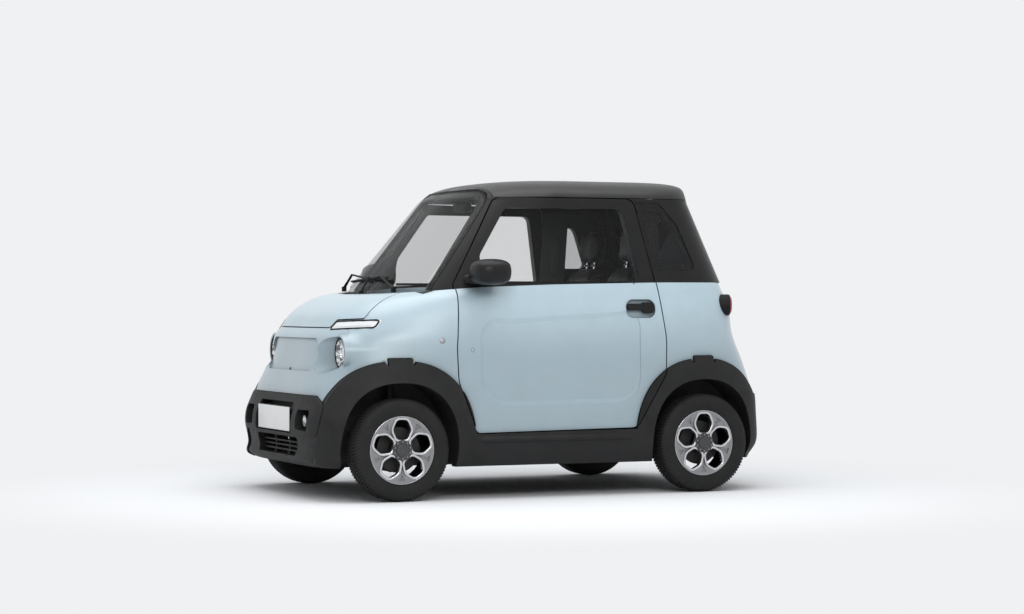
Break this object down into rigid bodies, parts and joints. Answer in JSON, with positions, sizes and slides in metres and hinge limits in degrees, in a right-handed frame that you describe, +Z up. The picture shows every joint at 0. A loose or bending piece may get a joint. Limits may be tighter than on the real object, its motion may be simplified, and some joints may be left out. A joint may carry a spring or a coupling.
{
  "type": "electric microcar",
  "caption": "Compact two-seat electric car with upright glasshouse, round headlamps, dark flared arches and alloy wheels with hexagonal windows.",
  "frame": {"origin": "on the ground at the centre of the footprint, midway between the wheels", "axes": "+X forward, +Y to the car's left, +Z up"},
  "size_m": [2.5261, 1.7644, 1.614],
  "materials": {
    "body_blue": "gloss",
    "trim_black": "satin",
    "clad_plastic": "grained",
    "clear_glass": "clear",
    "dark_glass": "tinted",
    "lamp_lens": "clear",
    "tail_lens": "gloss",
    "interior": "matt",
    "seat_fabric": "woven",
    "steel": "painted",
    "alloy": "machined",
    "tyre": "rubber"
  },
  "bodies": {
    "chassis": {"floor_pan": "interior", "underframe": "steel", "front_fascia": "body_blue", "front_bumper": "clad_plastic", "fenders": "body_blue", "cladding": "clad_plastic", "rear_bumper": "clad_plastic", "quarter_panels": "body_blue", "rear_panel": "body_blue", "windscreen_frame": "trim_black", "windscreen": "clear_glass", "roof": "trim_black", "rear_pillars": "trim_black", "quarter_glass": "dark_glass", "cowl": "trim_black", "dashboard": "interior", "seats": "seat_fabric", "headlamps": "lamp_lens", "daytime_lamps": "lamp_lens", "fog_lamps": "lamp_lens", "tail_lamps": "tail_lens", "wheel_liners": "interior", "front_suspension": "steel", "rear_axle": "steel", "drive_unit": "steel"},
    "steering_wheel": {"steering_wheel": "interior"},
    "knuckle_left": {"knuckle_left": "steel"},
    "knuckle_right": {"knuckle_right": "steel"},
    "wheel_front_left": {"tyre_front_left": "tyre", "rim_front_left": "alloy"},
    "wheel_front_right": {"tyre_front_right": "tyre", "rim_front_right": "alloy"},
    "wheel_rear_left": {"tyre_rear_left": "tyre", "rim_rear_left": "alloy"},
    "wheel_rear_right": {"tyre_rear_right": "tyre", "rim_rear_right": "alloy"},
    "door_assembly_left": {"door_left": "body_blue", "door_trim_left": "trim_black", "door_glass_left": "clear_glass", "mirror_left": "trim_black"},
    "door_assembly_right": {"door_right": "body_blue", "door_trim_right": "trim_black", "door_glass_right": "clear_glass", "mirror_right": "trim_black"},
    "bonnet_lid": {"bonnet": "body_blue"},
    "tailgate": {"hatch_panel": "body_blue", "hatch_frame": "trim_black", "hatch_glass": "dark_glass"}
  },
  "joints": [
    {"name": "steer_left", "type": "hinge", "parent": "chassis", "child": "knuckle_left", "pos_m": [0.835, 0.565, 0.254], "axis": [0, 0, 1], "range_deg": [-25, 25]},
    {"name": "steer_right", "type": "hinge", "parent": "chassis", "child": "knuckle_right", "pos_m": [0.835, -0.565, 0.254], "axis": [0, 0, 1], "range_deg": [-25, 25]},
    {"name": "steering_wheel_turn", "type": "hinge", "parent": "chassis", "child": "steering_wheel", "pos_m": [0.196, 0.248, 0.905], "axis": [-0.9135, 0, 0.4067], "range_deg": [-400, 400]},
    {"name": "spin_front_left", "type": "hinge", "parent": "knuckle_left", "child": "wheel_front_left", "pos_m": [0.835, 0.67, 0.254], "axis": [0, 1, 0], "continuous": true},
    {"name": "spin_front_right", "type": "hinge", "parent": "knuckle_right", "child": "wheel_front_right", "pos_m": [0.835, -0.67, 0.254], "axis": [0, 1, 0], "continuous": true},
    {"name": "spin_rear_left", "type": "hinge", "parent": "chassis", "child": "wheel_rear_left", "pos_m": [-0.835, 0.67, 0.254], "axis": [0, 1, 0], "continuous": true},
    {"name": "spin_rear_right", "type": "hinge", "parent": "chassis", "child": "wheel_rear_right", "pos_m": [-0.835, -0.67, 0.254], "axis": [0, 1, 0], "continuous": true},
    {"name": "door_left_open", "type": "hinge", "parent": "chassis", "child": "door_assembly_left", "pos_m": [0.552, 0.742, 0.8], "axis": [0, 0, -1], "range_deg": [0, 65]},
    {"name": "door_right_open", "type": "hinge", "parent": "chassis", "child": "door_assembly_right", "pos_m": [0.552, -0.742, 0.8], "axis": [0, 0, 1], "range_deg": [0, 65]},
    {"name": "bonnet_open", "type": "hinge", "parent": "chassis", "child": "bonnet_lid", "pos_m": [0.65, 0, 1.042], "axis": [0, -1, 0], "range_deg": [0, 50]},
    {"name": "tailgate_open", "type": "hinge", "parent": "chassis", "child": "tailgate", "pos_m": [-0.908, 0, 1.546], "axis": [0, 1, 0], "range_deg": [0, 70]}
  ],
  "couplings": [
    {"joint": "steer_right", "follows": "steer_left", "ratio": 1},
    {"joint": "steering_wheel_turn", "follows": "steer_left", "ratio": 16}
  ]
}
